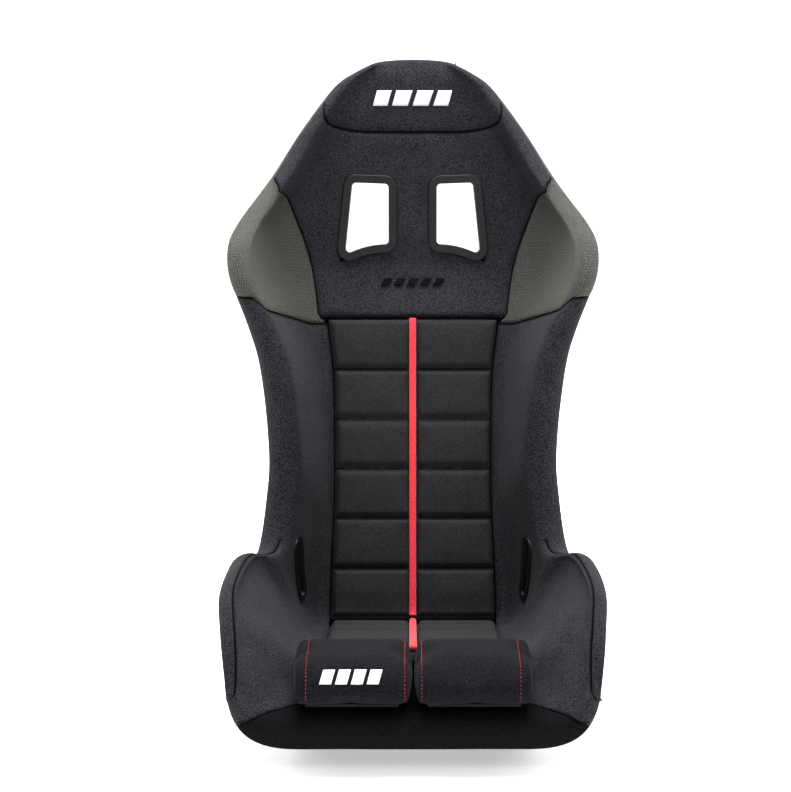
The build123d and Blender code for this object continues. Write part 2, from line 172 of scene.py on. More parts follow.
def sample_form():
    """P(u, w) on a regular grid, smoothed, with u from -1 to TOP + 1 and w from -2 to 2."""
    w = np.linspace(0, 2, W_STEPS + 1)
    front, top = Station(0.0), Station(TOP)
    rows = [end_roll(front, w, NOSE_T, k / END_STEPS) for k in range(END_STEPS, 0, -1)]
    rows += [Station(k / U_STEPS).face(w) for k in range(int(TOP) * U_STEPS + 1)]
    rows += [end_roll(top, w, -CAP_T, k / END_STEPS) for k in range(1, END_STEPS + 1)]
    left = np.array(rows)
    right = left[:, :0:-1] * np.array((-1.0, 1.0, 1.0))
    grid = np.concatenate([right, left], axis=1)
    u = np.arange(len(grid))[1:-1, None, None] / U_STEPS - 1
    ends = 0.6 * np.clip((1.3 - u) / 0.9, 0, 1) + np.clip((u - TOP + 3.8) / 1.6, 0, 1)
    for k in range(END_SMOOTHING):
        share = 0.5 if k < SMOOTHING else 0.5 * ends
        around = (grid[:-2, 1:-1] + grid[2:, 1:-1] + grid[1:-1, :-2] + grid[1:-1, 2:]) / 4
        rims = (grid[:-2, [0, -1]] + grid[2:, [0, -1]]) / 2
        grid[1:-1, 1:-1] += share * (around - grid[1:-1, 1:-1])
        grid[1:-1, [0, -1]] += share * (rims - grid[1:-1, [0, -1]])
    return grid


FORM = sample_form()
NORMALS = np.cross(np.gradient(FORM, axis=1), np.gradient(FORM, axis=0))
for _ in range(5):  # the corners of the form are points, and take their direction from beside them
    around = np.pad(NORMALS, ((1, 1), (1, 1), (0, 0)), mode="edge")
    around = around[:-2, 1:-1] + around[2:, 1:-1] + around[1:-1, :-2] + around[1:-1, 2:]
    NORMALS = (NORMALS + around / 4) / 2
NORMALS /= np.maximum(np.linalg.norm(NORMALS, axis=-1, keepdims=True), 1e-9)


def look_up(table, u, w):
    """Table value at (u, w), bilinear."""
    i = np.clip((np.asarray(u) + 1) * U_STEPS, 0, table.shape[0] - 1.001)
    j = np.clip((np.asarray(w) + 2) * W_STEPS / 2, 0, table.shape[1] - 1.001)
    i0, j0 = i.astype(int), j.astype(int)
    fi, fj = (i - i0)[..., None], (j - j0)[..., None]
    return (
        table[i0, j0] * (1 - fi) * (1 - fj) + table[i0 + 1, j0] * fi * (1 - fj)
        + table[i0, j0 + 1] * (1 - fi) * fj + table[i0 + 1, j0 + 1] * fi * fj
    )


def at(u, w):
    return look_up(FORM, u, w)


def normal_at(u, w):
    n = look_up(NORMALS, u, w)
    return n / np.maximum(np.linalg.norm(n, axis=-1, keepdims=True), 1e-9)


# ------------------------------------------------ materials
def node_material(name, colour, rough):
    """A new material, its node tree and its Principled shader."""
    material = bpy.data.materials.new(name)
    material.use_nodes = True
    nodes = material.node_tree.nodes
    shader = nodes["Principled BSDF"]
    shader.inputs["Base Color"].default_value = (*colour, 1)
    shader.inputs["Roughness"].default_value = rough
    return material, material.node_tree, shader


def srgb(r, g, b):
    """Linear colour from 8-bit sRGB."""
    return tuple(((c / 255 + 0.055) / 1.055) ** 2.4 if c > 10 else c / 255 / 12.92 for c in (r, g, b))


class Graph:
    """Short ways to add nodes to a material."""

    def __init__(self, tree):
        self.tree = tree

    def add(self, kind, inputs=(), **settings):
        node = self.tree.nodes.new(kind)
        for key, value in settings.items():
            setattr(node, key, value)
        for key, value in dict(inputs).items():
            if isinstance(value, bpy.types.NodeSocket):
                self.tree.links.new(value, node.inputs[key])
            else:
                node.inputs[key].default_value = value
        return node

    def math(self, operation, a, b=0.0):
        return self.add("ShaderNodeMath", {0: a, 1: b}, operation=operation).outputs[0]

    def noise(self, vector, scale, detail=2.0, rough=0.5):
        inputs = {"Vector": vector, "Scale": scale, "Detail": detail, "Roughness": rough}
        return self.add("ShaderNodeTexNoise", inputs).outputs["Fac"]

    def ramp(self, value, low, high, to_low=0.0, to_high=1.0):
        inputs = {"Value": value, 1: low, 2: high, 3: to_low, 4: to_high}
        return self.add("ShaderNodeMapRange", inputs).outputs[0]

    def mix(self, share, a, b):
        node = self.add("ShaderNodeMix", data_type="RGBA")
        for key, value in (("Factor", share), ("A", a), ("B", b)):
            socket = [k for k in node.inputs if k.name == key and k.type in ("VALUE", "RGBA")]
            socket = socket[0] if key == "Factor" else [k for k in socket if k.type == "RGBA"][0]
            if isinstance(value, bpy.types.NodeSocket):
                self.tree.links.new(value, socket)
            else:
                socket.default_value = value
        return [k for k in node.outputs if k.type == "RGBA"][0]


def fabric(name, dark, light, pitch, weave, rough=0.9, sheen=0.1, bump=0.6, depth=0.5, mottle=0.4,
           fuzz=520.0, knit=0.45):
    """Cloth. Its mesh has UVs in millimetres, and pitch is the size of one repeat of the weave."""
    material, tree, shader = node_material(name, dark, rough)
    g = Graph(tree)
    coords = g.add("ShaderNodeTexCoord")
    place = coords.outputs["Object"]
    split = g.add("ShaderNodeSeparateXYZ", {0: coords.outputs["UV"]})
    wobble = g.math("MULTIPLY", g.math("SUBTRACT", g.noise(place, 160.0), 0.5), 0.9 * pitch)
    x = g.math("MULTIPLY", g.math("ADD", split.outputs[0], wobble), 2 * math.pi / pitch)
    y = g.math("MULTIPLY", g.math("ADD", split.outputs[1], wobble), 2 * math.pi / pitch)
    if weave == "twill":
        across = g.math("SINE", g.math("ADD", x, y))
        steep = g.math("SUBTRACT", g.math("MULTIPLY", x, 0.5), g.math("MULTIPLY", y, 1.5))
        along = g.math("SINE", steep)
        thread = g.math("ADD", g.math("MULTIPLY", across, 0.7), g.math("MULTIPLY", along, 0.3))
    elif weave == "rib":
        thread = g.math("ADD", g.math("SINE", x), g.math("MULTIPLY", g.math("SINE", y), 0.35))
    elif weave == "dots":
        falling = g.math("SINE", g.math("SUBTRACT", x, y))
        thread = g.math("MULTIPLY", g.math("SINE", g.math("ADD", x, y)), falling)
    else:
        thread = g.math("MULTIPLY", g.math("SINE", x), g.math("SINE", y))
    reach = 0.55 if weave == "dots" else 1.0
    thread = g.ramp(thread, -reach, reach)
    fibres = g.noise(place, fuzz, 4.0, 0.75)
    cloud = g.noise(place, 22.0, 4.0, 0.6)
    height = g.math("ADD", g.math("MULTIPLY", thread, knit), g.math("MULTIPLY", fibres, 1 - knit))
    grain = g.ramp(fibres, 0.36, 0.66)
    tone = g.math("ADD", g.math("MULTIPLY", thread, knit), g.math("MULTIPLY", grain, 1 - knit))
    tone = g.math("ADD", tone, g.math("MULTIPLY", g.math("SUBTRACT", cloud, 0.5), mottle))
    colour = g.mix(g.ramp(tone, 0.1, 0.9), (*dark, 1), (*light, 1))
    tree.links.new(colour, shader.inputs["Base Color"])
    uneven = g.ramp(cloud, 0.3, 0.7, rough - 0.06, min(rough + 0.06, 1.0))
    tree.links.new(uneven, shader.inputs["Roughness"])
    bumps = g.add("ShaderNodeBump", {"Strength": bump, "Distance": depth * MM, "Height": height})
    tree.links.new(bumps.outputs[0], shader.inputs["Normal"])
    shader.inputs["Sheen Weight"].default_value = sheen
    shader.inputs["Sheen Roughness"].default_value = 0.45
    shader.inputs["Sheen Tint"].default_value = (0.8, 0.8, 0.86, 1)
    shader.inputs["Specular IOR Level"].default_value = 0.05
    return material


def moulded(name, colour, rough, grain=900.0, bump=0.15, metal=0.0, coat=0.0, gloss=0.5, streak=None):
    """Plastic, laminate or metal, with a fine grain and uneven gloss."""
    material, tree, shader = node_material(name, colour, rough)
    g = Graph(tree)
    place = g.add("ShaderNodeTexCoord").outputs["Object"]
    if streak:
        place = g.add("ShaderNodeMapping", {"Vector": place, "Scale": streak}).outputs[0]
    fine = g.noise(place, grain, 2.0)
    cloud = g.noise(place, 14.0, 3.0, 0.6)
    worn = tuple(min(1.0, c * 1.35 + 0.004) for c in colour)
    shade = g.math("ADD", g.math("MULTIPLY", fine, 0.4), g.math("MULTIPLY", cloud, 0.6))
    mixed = g.mix(g.ramp(shade, 0.3, 0.75), (*colour, 1), (*worn, 1))
    tree.links.new(mixed, shader.inputs["Base Color"])
    uneven = g.ramp(cloud, 0.25, 0.75, max(rough - 0.08, 0.03), rough + 0.08)
    tree.links.new(uneven, shader.inputs["Roughness"])
    bumps = g.add("ShaderNodeBump", {"Strength": bump, "Distance": 0.2 * MM, "Height": fine})
    tree.links.new(bumps.outputs[0], shader.inputs["Normal"])
    shader.inputs["Metallic"].default_value = metal
    shader.inputs["Specular IOR Level"].default_value = gloss
    shader.inputs["Coat Weight"].default_value = coat
    shader.inputs["Coat Roughness"].default_value = 0.12
    return material


VELOUR = fabric("velour", srgb(3, 3, 4), srgb(58, 57, 62), 1.6, "plain", sheen=0.04, mottle=0.35,
                knit=0.2)
# A darker copy of the velour: painted shade for the front panel, under the thigh pads and round the front
# edge.
SHADED_FRONT_CLOTH = fabric("shaded_front_cloth", srgb(2, 2, 2), srgb(20, 20, 22), 1.6, "plain", sheen=0.01, knit=0.2)
PATCH = fabric("anti_slip", srgb(5, 5, 5), srgb(104, 103, 99), 4.2, "dots", rough=0.6, sheen=0.03,
               bump=1.0, depth=1.0, mottle=0.2, knit=0.8)
QUILT = fabric("quilt_cloth", srgb(5, 5, 5), srgb(57, 57, 57), 2.8, "twill", rough=0.72, sheen=0.03,
               bump=0.9, depth=0.6, mottle=0.2, knit=0.6)
PAD_CLOTH = fabric("pad_cloth", srgb(2, 2, 3), srgb(30, 30, 35), 1.6, "plain", sheen=0.03, knit=0.2)
LINER = fabric("liner", srgb(8, 8, 9), srgb(40, 40, 42), 2.4, "plain", sheen=0.03)
TAPE = fabric("hook_tape", srgb(6, 6, 7), srgb(40, 40, 42), 1.8, "dots", bump=1.0, depth=0.8, knit=0.7)
# Near-black cord for the bottom of the seams: partly the seam's thread, partly painted shade in the
# seam's groove.
SEAM_THREAD_AND_SHADE = fabric("seam_thread_and_shade", srgb(2, 2, 2), srgb(12, 12, 13), 1.0, "rib", sheen=0.0)
RED = fabric("red_ribbon", srgb(205, 26, 38), srgb(255, 84, 92), 1.3, "rib", rough=0.6, sheen=0.25,
             mottle=0.2)
RED_THREAD = fabric("red_thread", srgb(120, 20, 28), srgb(205, 52, 60), 0.5, "rib", rough=0.6, mottle=0.2)
DARK_THREAD = fabric("dark_thread", srgb(14, 14, 15), srgb(50, 50, 53), 0.5, "rib", rough=0.6, mottle=0.2)
PRINT = fabric("white_print", srgb(196, 196, 198), srgb(250, 250, 250), 1.1, "plain", sheen=0.1,
               mottle=0.1)
LAMINATE = moulded("laminate", srgb(6, 6, 7), 0.42, grain=260.0, bump=0.12, coat=0.12, gloss=0.3)
BEZEL = moulded("bezel_plastic", srgb(9, 9, 10), 0.45, grain=1400.0, bump=0.3, gloss=0.28)
TRIM = moulded("edge_trim", srgb(12, 12, 13), 0.55, grain=1600.0, bump=0.3)
STEEL = moulded("boss_steel", srgb(150, 152, 156), 0.3, grain=300.0, bump=0.2, metal=1.0,
                streak=(1, 9, 9))


# ------------------------------------------------ meshes
def mesh_piece(name, points, faces, material, uvs=None):
    """A smooth-shaded mesh. Points and UVs are in millimetres, UVs one for each point."""
    mesh = bpy.data.meshes.new(name)
    mesh.from_pydata((np.asarray(points) * MM).tolist(), [], faces)
    mesh.polygons.foreach_set("use_smooth", np.ones(len(mesh.polygons), dtype=bool))
    if uvs is not None:
        layer = mesh.uv_layers.new(name="cloth")
        corners = np.empty(len(mesh.loops), dtype=np.int32)
        mesh.loops.foreach_get("vertex_index", corners)
        layer.data.foreach_set("uv", np.asarray(uvs)[corners].astype(np.float32).ravel())
    mesh.materials.append(material)
    piece = bpy.data.objects.new(name, mesh)
    bpy.context.collection.objects.link(piece)
    return piece


def grid_faces(rows, cols, keep=None, start=0):
    """Quads of a grid of points, row after row, facing the form's outer side."""
    faces = []
    for i in range(rows - 1):
        for j in range(cols - 1):
            if keep is None or keep[i, j]:
                k = start + i * cols + j
                faces.append((k, k + 1, k + cols + 1, k + cols))
    return faces


def grid_rim(rows, cols):
    """Places round the edge of a grid, once round."""
    rim = [(0, j) for j in range(cols)] + [(i, cols - 1) for i in range(1, rows)]
    rim += [(rows - 1, j) for j in range(cols - 2, -1, -1)]
    return rim + [(i, 0) for i in range(rows - 2, 0, -1)]


def ring_faces(count, sides, start=0, closed=False):
    """Quads between rings of points, and a cap at both ends unless the rings close up."""
    faces = []
    for k in range(count if closed else count - 1):
        here, there = start + k * sides, start + (k + 1) % count * sides
        for a in range(sides):
            b = (a + 1) % sides
            faces.append((here + a, here + b, there + b, there + a))
    if not closed:
        faces.append(tuple(range(start + sides - 1, start - 1, -1)))
        faces.append(tuple(range(start + (count - 1) * sides, start + count * sides)))
    return faces


def thickened(piece, thickness):
    """Gives a sheet its thickness, on the side away from its face."""
    solid = piece.modifiers.new("thickness", "SOLIDIFY")
    solid.thickness = thickness * MM
    solid.offset = -1
    return piece


def tube(name, path, radius, material, closed=False, sides=10):
    """A round strip along a path of points."""
    path = np.asarray(path)
    ahead = np.roll(path, -1, axis=0) - np.roll(path, 1, axis=0)
    if not closed:
        ahead[0], ahead[-1] = path[1] - path[0], path[-1] - path[-2]
    ahead /= np.linalg.norm(ahead, axis=1, keepdims=True)
    side = np.cross(ahead[0], (0.0, 0.3, 1.0))
    points, uvs, run = [], [], 0.0
    for k, (centre, forward) in enumerate(zip(path, ahead)):
        side = unit(side - forward * np.dot(side, forward))
        up = np.cross(forward, side)
        run += np.linalg.norm(centre - path[k - 1]) if k else 0.0
        for a in np.linspace(0, 2 * math.pi, sides, endpoint=False):
            points.append(centre + radius * (math.cos(a) * side + math.sin(a) * up))
            uvs.append((run, a * radius))
    return mesh_piece(name, points, ring_faces(len(path), sides, closed=closed), material, uvs)


STITCH_RINGS = [(-0.5, 0.15), (-0.34, 0.85), (0.0, 1.0), (0.34, 0.85), (0.5, 0.15)]  # place, size


def stitches(name, runs, material, length=3.4, gap=1.8, radius=0.5):
    """Sewn stitches along runs, each a path of points with the surface's normals there."""
    points, faces, uvs = [], [], []
    sides = 6
    for path, normals in runs:
        steps = np.concatenate([[0], np.cumsum(np.linalg.norm(np.diff(path, axis=0), axis=1))])
        for place in np.arange(length, steps[-1] - length, length + gap):
            at_place = [np.array([np.interp(place + k, steps, path[:, i]) for i in range(3)])
                        for k in (-length / 2, 0, length / 2)]
            forward = unit(at_place[2] - at_place[0])
            normal = np.array([np.interp(place, steps, normals[:, i]) for i in range(3)])
            normal = unit(normal - forward * np.dot(normal, forward))
            side = np.cross(forward, normal)
            base = len(points)
            for share, size in STITCH_RINGS:
                centre = at_place[1] + forward * length * share + normal * radius * (size - 0.6)
                for a in range(sides):
                    turn = 2 * math.pi * a / sides
                    out = math.cos(turn) * side + math.sin(turn) * normal
                    points.append(centre + radius * size * out)
                    uvs.append((place + length * share, turn))
            faces += ring_faces(len(STITCH_RINGS), sides, base)
    return mesh_piece(name, points, faces, material, uvs)


# ------------------------------------------------ sewn panels
def ripple(along, across, seed):
    """Small puckers beside a seam, from the place along it and the distance to it."""
    rng = np.random.default_rng(seed)
    waves = sum(np.sin(along / rng.uniform(2.2, 6.5) + rng.uniform(0, 6.3)) for _ in range(5)) / 5
    return waves * np.exp(-across / 7.0)


def unevenness(points, seed, size):
    """Slow, soft unevenness of stuffed fabric."""
    rng = np.random.default_rng(seed)
    total = 0.0
    for _ in range(7):
        direction = rng.normal(size=3)
        direction /= np.linalg.norm(direction)
        total = total + np.sin(points @ direction / rng.uniform(14, 42) + rng.uniform(0, 6.3))
    return size * total / 7


def arc_lengths(points, axis):
    steps = np.linalg.norm(np.diff(points, axis=axis), axis=-1)
    zero = np.zeros_like(np.take(steps, [0], axis=axis))
    return np.concatenate([zero, np.cumsum(steps, axis=axis)], axis=axis)


CLOTH_T = 2.8
SKIRT_ROWS, SKIRT_STEP = 4, 4.3


def skirted(values, side, step):
    """Adds rows to one side of a grid, each a step further than the last."""
    turn = {"start": (0, False), "end": (0, True), "inner": (1, False), "outer": (1, True)}[side]
    grid = values if turn[0] == 0 else values.swapaxes(0, 1)
    more = np.array([grid[-1 if turn[1] else 0] + k * step for k in range(1, SKIRT_ROWS + 1)])
    grid = np.concatenate([grid, more] if turn[1] else [more[::-1], grid])
    return grid if turn[0] == 0 else grid.swapaxes(0, 1)


def panel(name, u, w, material, seams, seed, crown=1.5, dip=3.4, grooves=(), hole=None, skirts=(),
          nodes=(), relief=0.0):
    """A sewn panel of the seat. u and w are grids of its places on the form; seams says which of its
    sides (start, end, inner, outer) are sewn down; grooves are seams across it, as distances in mm;
    skirts are the sides where the cloth goes on down into a cushion's pocket; relief is added to its
    height."""
    base = at(u, w)
    along, across = arc_lengths(base, 0), arc_lengths(base, 1)
    sides = {
        "start": along, "end": along[-1] - along, "inner": across, "outer": across[:, -1:] - across,
    }
    height = unevenness(base, seed, 0.9) + relief
    nearest = np.full(u.shape, 400.0)
    for key in seams:
        run = across if key in ("start", "end") else along
        height += 0.35 * ripple(run, sides[key], seed + len(key))
        nearest = np.minimum(nearest, sides[key])
    for distance in grooves:
        height += 0.2 * ripple(along, distance, seed + 3) - 3.2 * np.exp(-(distance / 2.4) ** 2)
    height += crown * (1 - np.exp(-nearest / 30)) - dip * np.exp(-(nearest / 3.4) ** 1.4)
    normals = normal_at(u, w)
    points = base + normals * height[..., None]
    uvs = np.stack([across - across[:, -1:] / 2, along], axis=-1)
    for side in skirts:
        pick = {"start": np.s_[0], "end": np.s_[-1], "inner": np.s_[:, 0], "outer": np.s_[:, -1]}[side]
        points = skirted(points, side, -SKIRT_STEP * normals[pick])
        normals = skirted(normals, side, 0.0)
        uvs = skirted(uvs, side, SKIRT_STEP)
    rows, cols = points.shape[:2]
    keep = None
    if hole is not None:
        centres = (points[1:, 1:] + points[:-1, :-1]) / 2
        keep = ~hole(centres)
    faces = grid_faces(rows, cols, keep)
    if w[0, -1] < w[0, 0]:  # a panel of the right side runs the other way
        faces = [f[::-1] for f in faces]
    piece = mesh_piece(name, points.reshape(-1, 3), faces, material, uvs.reshape(-1, 2))
    thickened(piece, CLOTH_T)
    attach(piece, "root")
    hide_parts(*nodes)


def seam_run(u, w, lift):
    """A path on the form with its normals, lift above it. One of u and w may be a single number."""
    u, w = np.broadcast_arrays(u, w)
    normals = normal_at(u, w)
    return at(u, w) + normals * lift, normals


def share_grids(size, steps):
    """Grids of even shares of the way along and across, for a size and steps in mm."""
    shares = [np.linspace(0, 1, max(int(k / step), 4) + 1) for k, step in zip(size, steps)]
    return np.meshgrid(*shares, indexing="ij")


SEAT_START = 3.1
BACK_START, BACK_END = 6.1, 11.08
SEAT_BACK_Y = 108.0
PATCH_LOW, PATCH_TOP = 11.0, 15.6
EDGE_W = FLOOR_W  # beside the cushions
DIAGONAL_U, DIAGONAL_W = 1.6, 0.8  # the front panel's seams run from the cushions' edge out to here
OUTER_SEAM_W = 1.3
END_U = 0.98  # how far the cloth goes round the front edge and over the top
CORD_DEPTH = -1.6  # of a seam's cord, a near-black tube that is partly the seam's thread and partly painted shade in its groove
HOLLOW_W, HOLLOW_WIDTH, HOLLOW_DEPTH = 0.97, 0.15, 12.0  # the hip wings are hollow inside their rims


def front_width(u):
    """Half width w of the front panel, whose seams run out to the corners below the thigh pads."""
    share = np.clip((DIAGONAL_U - u) / (DIAGONAL_U + 0.95), 0, 1)
    return EDGE_W + (DIAGONAL_W - EDGE_W) * share


def patch_low(w):
    """u of the shoulder patch's lower seam, which rises towards the rim."""
    return PATCH_LOW + 0.6 * np.clip((np.abs(w) - 0.5) / 0.8, 0, 1) ** 1.25


def patch_inner(u):
    """w of the shoulder patch's inner seam, which runs out to the rim at its top."""
    rise = np.clip((u - PATCH_LOW) / (PATCH_TOP - PATCH_LOW), 0, 1)
    start = EDGE_W + 0.06 * np.clip((u - PATCH_LOW) / 0.2, 0, 1)
    return start + (2 - start) * (0.24 * rise**2 + 0.76 * rise**11)


def head_low(w):
    """u of the seam under the head panel."""
    w = np.abs(w)
    return 16.8 + 0.42 * np.clip((w - 0.27) / 0.73, 0, 1) ** 1.15 + 0.5 * np.clip(w - 1, 0, 1)


def mirrored(sign):
    return "left" if sign > 0 else "right"


STRAP_CORNERS = [(35.0, 618.0), (35.0, 706.0), (88.0, 708.0), (99.0, 602.0)]  # x, z of the strap slots
HOLE_MARGIN = 6.0  # the fabric is cut this far from the slots, under their bezels


def in_strap_slot(centres):
    """Which points lie in the strap slots or under the inner part of their bezels."""
    x, z = np.abs(centres[..., 0]), centres[..., 2]
    inside = np.ones(x.shape, dtype=bool)
    for (ax, az), (bx, bz) in zip(STRAP_CORNERS, STRAP_CORNERS[1:] + STRAP_CORNERS[:1]):
        size = math.hypot(bx - ax, bz - az)
        inside &= ((x - ax) * (bz - az) - (z - az) * (bx - ax)) / size > -HOLE_MARGIN
    return inside


LAP_CENTRE = np.array((80.0, 176.0))  # y, z
LAP_UP = np.array((-0.25, 0.97))
LAP_SIZE = (84.0, 12.0)


def in_lap_slot(centres):
    """Which points lie in the lap belt slots, which are rounded at both ends."""
    place = centres[..., 1:] - LAP_CENTRE
    up = place @ LAP_UP
    across = place @ np.array((LAP_UP[1], -LAP_UP[0]))
    rest = np.maximum(np.abs(up) - (LAP_SIZE[0] - LAP_SIZE[1]) / 2, 0)
    return np.hypot(rest, across) < LAP_SIZE[1] / 2 + 4.0


CROTCH_Y = -176.0
CROTCH_SIZE = (64.0, 24.0)


def in_crotch_slot(centres):
    rest = np.maximum(np.abs(centres[..., 0]) - (CROTCH_SIZE[0] - CROTCH_SIZE[1]) / 2, 0)
    inside = np.hypot(rest, centres[..., 1] - CROTCH_Y) < CROTCH_SIZE[1] / 2 + 1.0
    return inside & (centres[..., 2] > 60)


def between(low, high, share):
    return low + (high - low) * share


def side_panel(sign):
    """The bolster from the front corner, along the thigh and up the side to the shoulder patch."""
    name = mirrored(sign)
    s, t = share_grids((1150, 330), (3.7, 3.6))
    top = patch_low(between(EDGE_W, 2.0, t))
    u = between(-END_U, top, s)
    w = between(front_width(u), 2.0, t)
    outer = np.abs(w - OUTER_SEAM_W) * 34.0 + 200.0 * (u > 6.6)
    hollow = np.exp(-(((w - HOLLOW_W) / HOLLOW_WIDTH) ** 2))
    hollow = hollow * np.clip((5.2 - u) / 1.6, 0, 1) * np.clip((u + 0.1) / 0.8, 0, 1)
    parts = ("hip_cover", "side_cover", "hip_roll", "side_roll", "hip_foam", "side_foam")
    panel(f"side_panel_{name}", u, sign * w, VELOUR, ("end", "inner"), 11 + sign, crown=1.2,
          grooves=(outer,), hole=in_lap_slot, skirts=("inner",), relief=-HOLLOW_DEPTH * hollow,
          nodes=[f"{part}_{name}" for part in parts])


def shoulder_patch(sign):
    name = mirrored(sign)
    s, t = share_grids((260, 190), (3.2, 3.2))
    low = patch_low(between(EDGE_W, 2.0, t))
    u = between(low, PATCH_TOP, s)
    w = between(patch_inner(u), 2.0, t)
    panel(f"shoulder_cloth_{name}", u, sign * w, PATCH, ("start", "end", "inner"), 31 + sign, crown=2.2,
          nodes=(f"shoulder_patch_{name}", f"shoulder_roll_{name}"))


for sign in (1, -1):
    side_panel(sign)
    shoulder_patch(sign)

s, t = share_grids((330, 520), (3.4, 3.4))
u = between(BACK_END + 0.06, head_low(2 * (2 * t - 1)), s)
w = (2 * t - 1) * patch_inner(u)
panel("upper_back_panel", u, w, VELOUR, ("start", "end", "inner", "outer"), 51, hole=in_strap_slot,
      nodes=["upper_back_cover", "upper_back_foam", "head_roll_left", "head_roll_right"])

s, t = share_grids((150, 420), (3.2, 3.2))
w = 2 * (2 * t - 1)
u = between(head_low(w), TOP + END_U, s)
panel("head_panel", u, w, VELOUR, ("start",), 61, crown=1.0, nodes=["head_cover", "head_cap"])

s, t = share_grids((260, 320), (3.6, 3.6))
u = between(-END_U, SEAT_START - 0.05, s)
w = (2 * t - 1) * front_width(u)
panel("front_panel_cover", u, w, SHADED_FRONT_CLOTH, ("inner", "outer"), 71, crown=1.0, hole=in_crotch_slot,
      skirts=("end",), nodes=["seat_front_cover", "front_panel"])

# ------------------------------------------------ seams and edge trim
seams = []
for sign in (1, -1):
    u = np.linspace(-0.9, 11.2, 240)
    seams.append(seam_run(u, sign * (front_width(u) + 0.022), -0.4))
    w = np.linspace(EDGE_W + 0.05, 1.9, 90)
    seams.append(seam_run(patch_low(w) - 0.06, sign * w, -0.3))
    u = np.linspace(0.1, 6.4, 160)
    seams.append(seam_run(u, sign * (OUTER_SEAM_W - 0.09), 0.6))
    u = np.linspace(PATCH_LOW + 0.1, PATCH_TOP - 0.25, 110)
    seams.append(seam_run(u, sign * (patch_inner(u) - 0.025), -0.3))
w = np.linspace(-1.7, 1.7, 160)
seams.append(seam_run(head_low(w) + 0.07, w, -0.2))
piece = stitches("panel_stitching", seams, DARK_THREAD)
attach(piece, "root")


def seam_thread_and_shade(name, u, w, lift, body="root", radius=0.9):
    """The dark line at the bottom of a seam: a near-black tube, partly the seam's thread and partly
    painted shade of the seam's groove.
    """
    piece = tube(name, seam_run(u, w, lift)[0], radius, SEAM_THREAD_AND_SHADE, sides=6)
    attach(piece, body)


for sign in (1, -1):
    name = mirrored(sign)
    u = np.linspace(-0.9, SEAT_START, 90)
    seam_thread_and_shade(f"front_seam_{name}", u, sign * front_width(u), CORD_DEPTH)
    w = np.linspace(EDGE_W, 1.95, 110)
    seam_thread_and_shade(f"patch_seam_{name}", patch_low(w), sign * w, CORD_DEPTH)
    u = np.linspace(PATCH_LOW, PATCH_TOP, 150)
    seam_thread_and_shade(f"patch_edge_{name}", u, sign * patch_inner(u), CORD_DEPTH)
    u = np.linspace(-0.05, 6.5, 200)
    seam_thread_and_shade(f"hip_seam_{name}", u, sign * OUTER_SEAM_W, -0.8, radius=1.1)
w = np.linspace(-1.9, 1.9, 200)
seam_thread_and_shade("head_seam", head_low(w), w, CORD_DEPTH)
w = np.linspace(-EDGE_W - 0.05, EDGE_W + 0.05, 80)
seam_thread_and_shade("cushion_seam", BACK_END + 0.05, w, -1.0, radius=1.3)

ends = np.linspace(-2, 2, 90)[1:-1]
sides = np.linspace(-END_U, TOP + END_U, 420)
u = np.concatenate([sides, np.full(ends.shape, TOP + END_U), sides[::-1], np.full(ends.shape, -END_U)])
w = np.concatenate([np.full(sides.shape, 2.0), -ends, np.full(sides.shape, -2.0), ends])
path = at(u, w) - 1.6 * normal_at(u, w)
for _ in range(24):
    path = (np.roll(path, 1, axis=0) + 2 * path + np.roll(path, -1, axis=0)) / 4
piece = tube("edge_trim", path, 2.2, TRIM, closed=True)
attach(piece, "root")


# ------------------------------------------------ cushions
RIBBON_HALF = 5.0
RIBBON_LIFT, RIBBON_RISE = 6.2, 4.6
CHANNEL_HALF = 2.4  # half of the flat channel between two cells
CHANNEL_LIFT, CELL_RISE, CELL_PUFF = 1.2, 6.6, 2.6  # heights over the form
BELT_DEPTH, UNDER_DEPTH = 6.0, 15.6  # of the cushion's widest line and its underside
CELL_EDGE = 6.5  # how far a cell's rounded edge reaches


def rounded(distance, reach):
    """0 at a sewn edge, rising like a quarter circle to 1."""
    share = np.clip(distance / reach, 0, 1)
    return np.sqrt(1 - (1 - share) ** 2)


